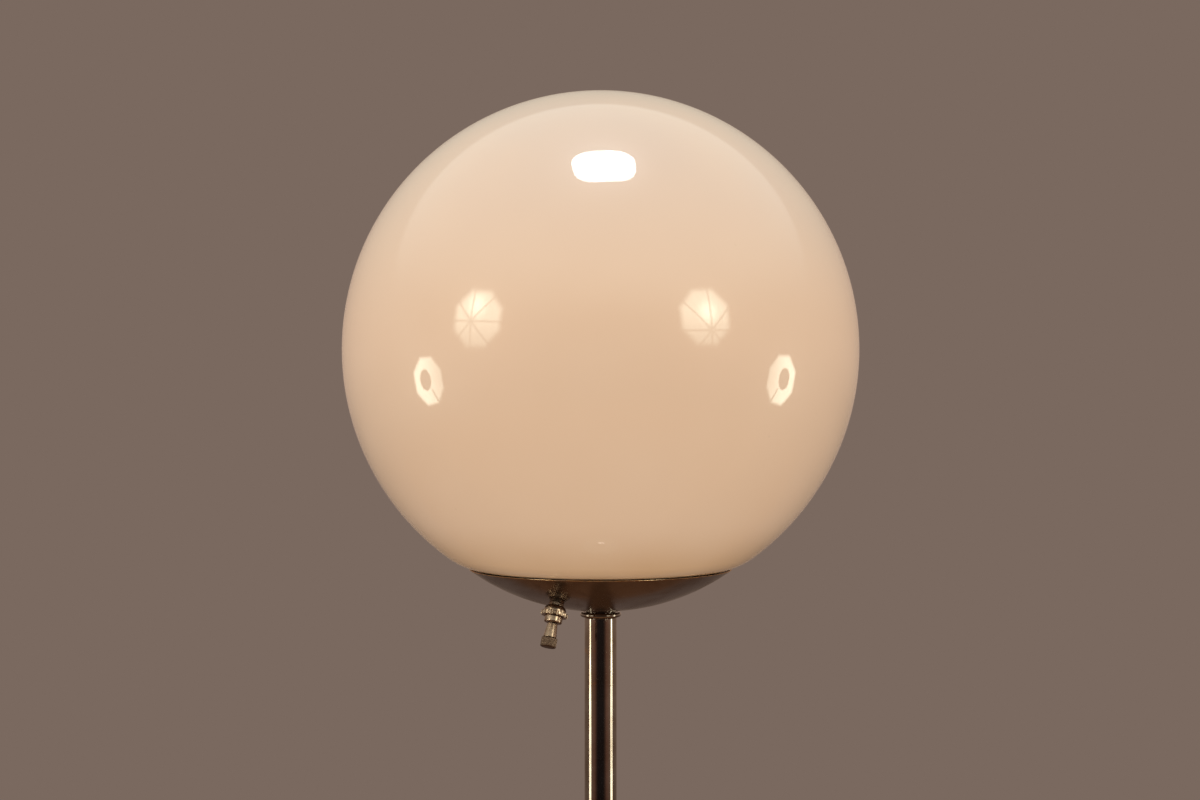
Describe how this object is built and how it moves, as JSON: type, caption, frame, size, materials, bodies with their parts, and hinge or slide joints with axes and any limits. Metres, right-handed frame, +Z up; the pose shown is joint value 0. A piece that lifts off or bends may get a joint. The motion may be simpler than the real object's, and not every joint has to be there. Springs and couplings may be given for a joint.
{
  "type": "globe floor lamp",
  "caption": "Floor lamp with an opal glass globe in a shallow chromed dish, a turn switch under the dish, a beaded collar, a slim chromed pole and a round weighted base.",
  "frame": {"origin": "on the lamp's axis at the floor, centre of the base's underside", "axes": "+Z up along the pole, -Y is the front that faces the viewer, +Y towards the cable inlet at the back of the base"},
  "size_m": [0.3499, 0.35, 1.7],
  "materials": {
    "opal_glass": "glossy white opal glass",
    "aged_chrome": "bright plating with age marks",
    "aged_brass": "worn and darkened",
    "brass": "satin",
    "steel": "zinc plated",
    "spring_steel": "dull spring steel",
    "porcelain": "glazed white",
    "brown_resin": "moulded dark brown",
    "fibre": "red vulcanised fibre",
    "soft_rubber": "matt black",
    "felt": "dark felt",
    "iron": "rough cast",
    "clear_glass": "clear",
    "black_glass": "black insulating button",
    "cap_metal": "rolled thread",
    "flex_sheath": "black sheath",
    "core_brown": "brown insulation",
    "core_blue": "blue insulation"
  },
  "bodies": {
    "stand": {"base_cores": "core_blue", "base_cover": "aged_chrome", "base_nut": "steel", "base_tie_rod": "steel", "base_washer": "steel", "base_weight": "iron", "block_screw": "steel", "dish": "aged_chrome", "dish_lock_nut": "steel", "dish_washer": "steel", "felt_pad": "felt", "globe_carrier": "spring_steel", "globe_seat_ring": "soft_rubber", "holder_cap": "brass", "holder_centre_contact": "brass", "holder_grub_screw": "steel", "holder_insert": "porcelain", "holder_ring": "porcelain", "holder_screw_shell": "brass", "holder_skirt": "brass", "holder_terminal_screws": "steel", "inlet_grommet": "soft_rubber", "lower_nipple": "steel", "pole_bottom_bush": "steel", "pole_bottom_collar": "aged_chrome", "pole_flex": "flex_sheath", "pole_top_bush": "steel", "pole_top_collar": "aged_chrome", "pole_tube": "aged_chrome", "switch_bushing": "aged_brass", "switch_case": "brown_resin", "switch_collar": "aged_brass", "switch_contacts": "brass", "switch_detent_spring": "spring_steel", "switch_dome": "aged_brass", "switch_gasket": "fibre", "switch_lid": "brown_resin", "switch_notched_ring": "aged_brass", "switch_nut": "aged_brass", "switch_terminal_screws": "steel", "terminal_block": "porcelain", "terminal_inserts": "brass", "terminal_screws": "steel", "upper_nipple": "steel", "wire_coupler": "brass", "wire_live": "core_brown", "wire_neutral": "core_blue", "wire_switched": "core_brown"},
    "globe": {"glass_globe": "opal_glass"},
    "bulb": {"bulb_cap": "cap_metal", "bulb_contact": "brass", "bulb_filament": "steel", "bulb_glass": "clear_glass", "bulb_insulator": "black_glass", "bulb_stem": "clear_glass"},
    "knob": {"switch_knob": "aged_brass", "switch_spindle": "aged_brass", "switch_rotor": "brown_resin", "switch_bridge": "brass"}
  },
  "joints": [
    {"name": "globe_lift", "type": "slide", "parent": "stand", "child": "globe", "axis": [0, 0, 1], "range_m": [0, 0.2]},
    {"name": "bulb_out", "type": "slide", "parent": "stand", "child": "bulb", "axis": [0, 0, 1], "range_m": [0, 0.03]},
    {"name": "switch_turn", "type": "hinge", "parent": "stand", "child": "knob", "pos_m": [-0.02884, -0.048, 1.3577], "axis": [-0.1861, -0.3097, -0.9325], "continuous": true}
  ]
}
